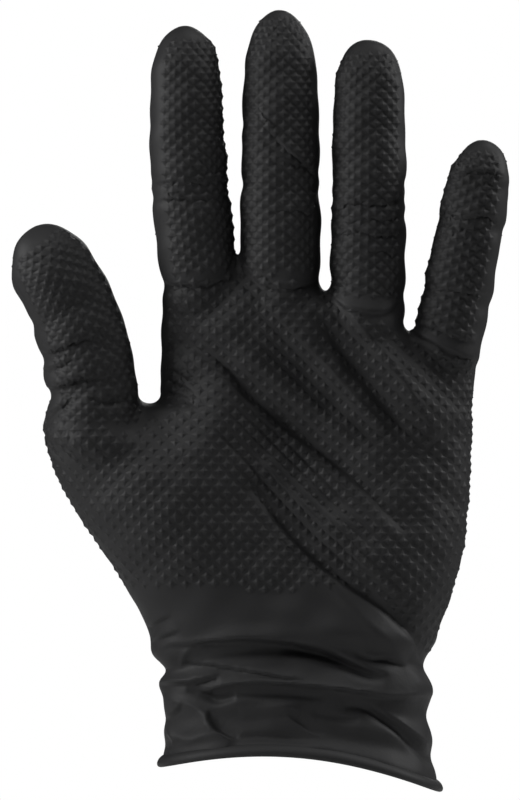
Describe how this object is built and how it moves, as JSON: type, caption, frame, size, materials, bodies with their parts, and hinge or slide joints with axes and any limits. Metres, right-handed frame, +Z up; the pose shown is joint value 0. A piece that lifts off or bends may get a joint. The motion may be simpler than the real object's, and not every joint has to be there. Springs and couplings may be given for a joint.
{
  "type": "nitrile exam glove",
  "caption": "Worn-form disposable exam glove for a left hand: thin black rubber film, open at the cuff, with a rolled bead.",
  "frame": {"origin": "middle of the cuff's opening, where the glove sits on the wrist", "axes": "+Z up along the fingers, -Y the way the palm faces, -X towards the thumb"},
  "size_m": [0.146, 0.0542, 0.2301],
  "materials": {
    "nitrile": "satin black nitrile with raised grip dots on palm, back and fingers and a smooth cuff"
  },
  "bodies": {
    "root": {"glove": "nitrile"}
  },
  "joints": []
}
